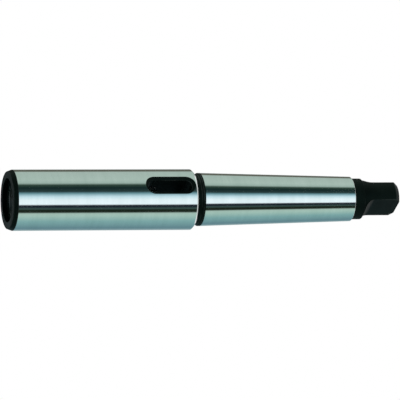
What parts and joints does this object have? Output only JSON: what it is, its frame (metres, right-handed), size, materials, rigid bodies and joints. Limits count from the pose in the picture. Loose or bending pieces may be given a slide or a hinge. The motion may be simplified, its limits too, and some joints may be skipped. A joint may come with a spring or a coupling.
{
  "type": "morse taper extension sleeve",
  "caption": "Steel sleeve with a Morse taper socket at one end, a larger Morse taper shank with a driving tang at the other, and a cross slot for the ejecting drift.",
  "frame": {"origin": "centre of the socket's end face, which the sleeve stands on", "axes": "+Z along the sleeve's axis from the socket's face to the tang; the drift slot runs through along Y, and the tang's flats face +X and -X"},
  "size_m": [0.036, 0.036, 0.24],
  "materials": {
    "sleeve_steel": "ground bright on the body and shank; black oxide on the mouth, slot, relief, shank's end and tang"
  },
  "bodies": {
    "root": {"taper_sleeve": "sleeve_steel"}
  },
  "joints": []
}
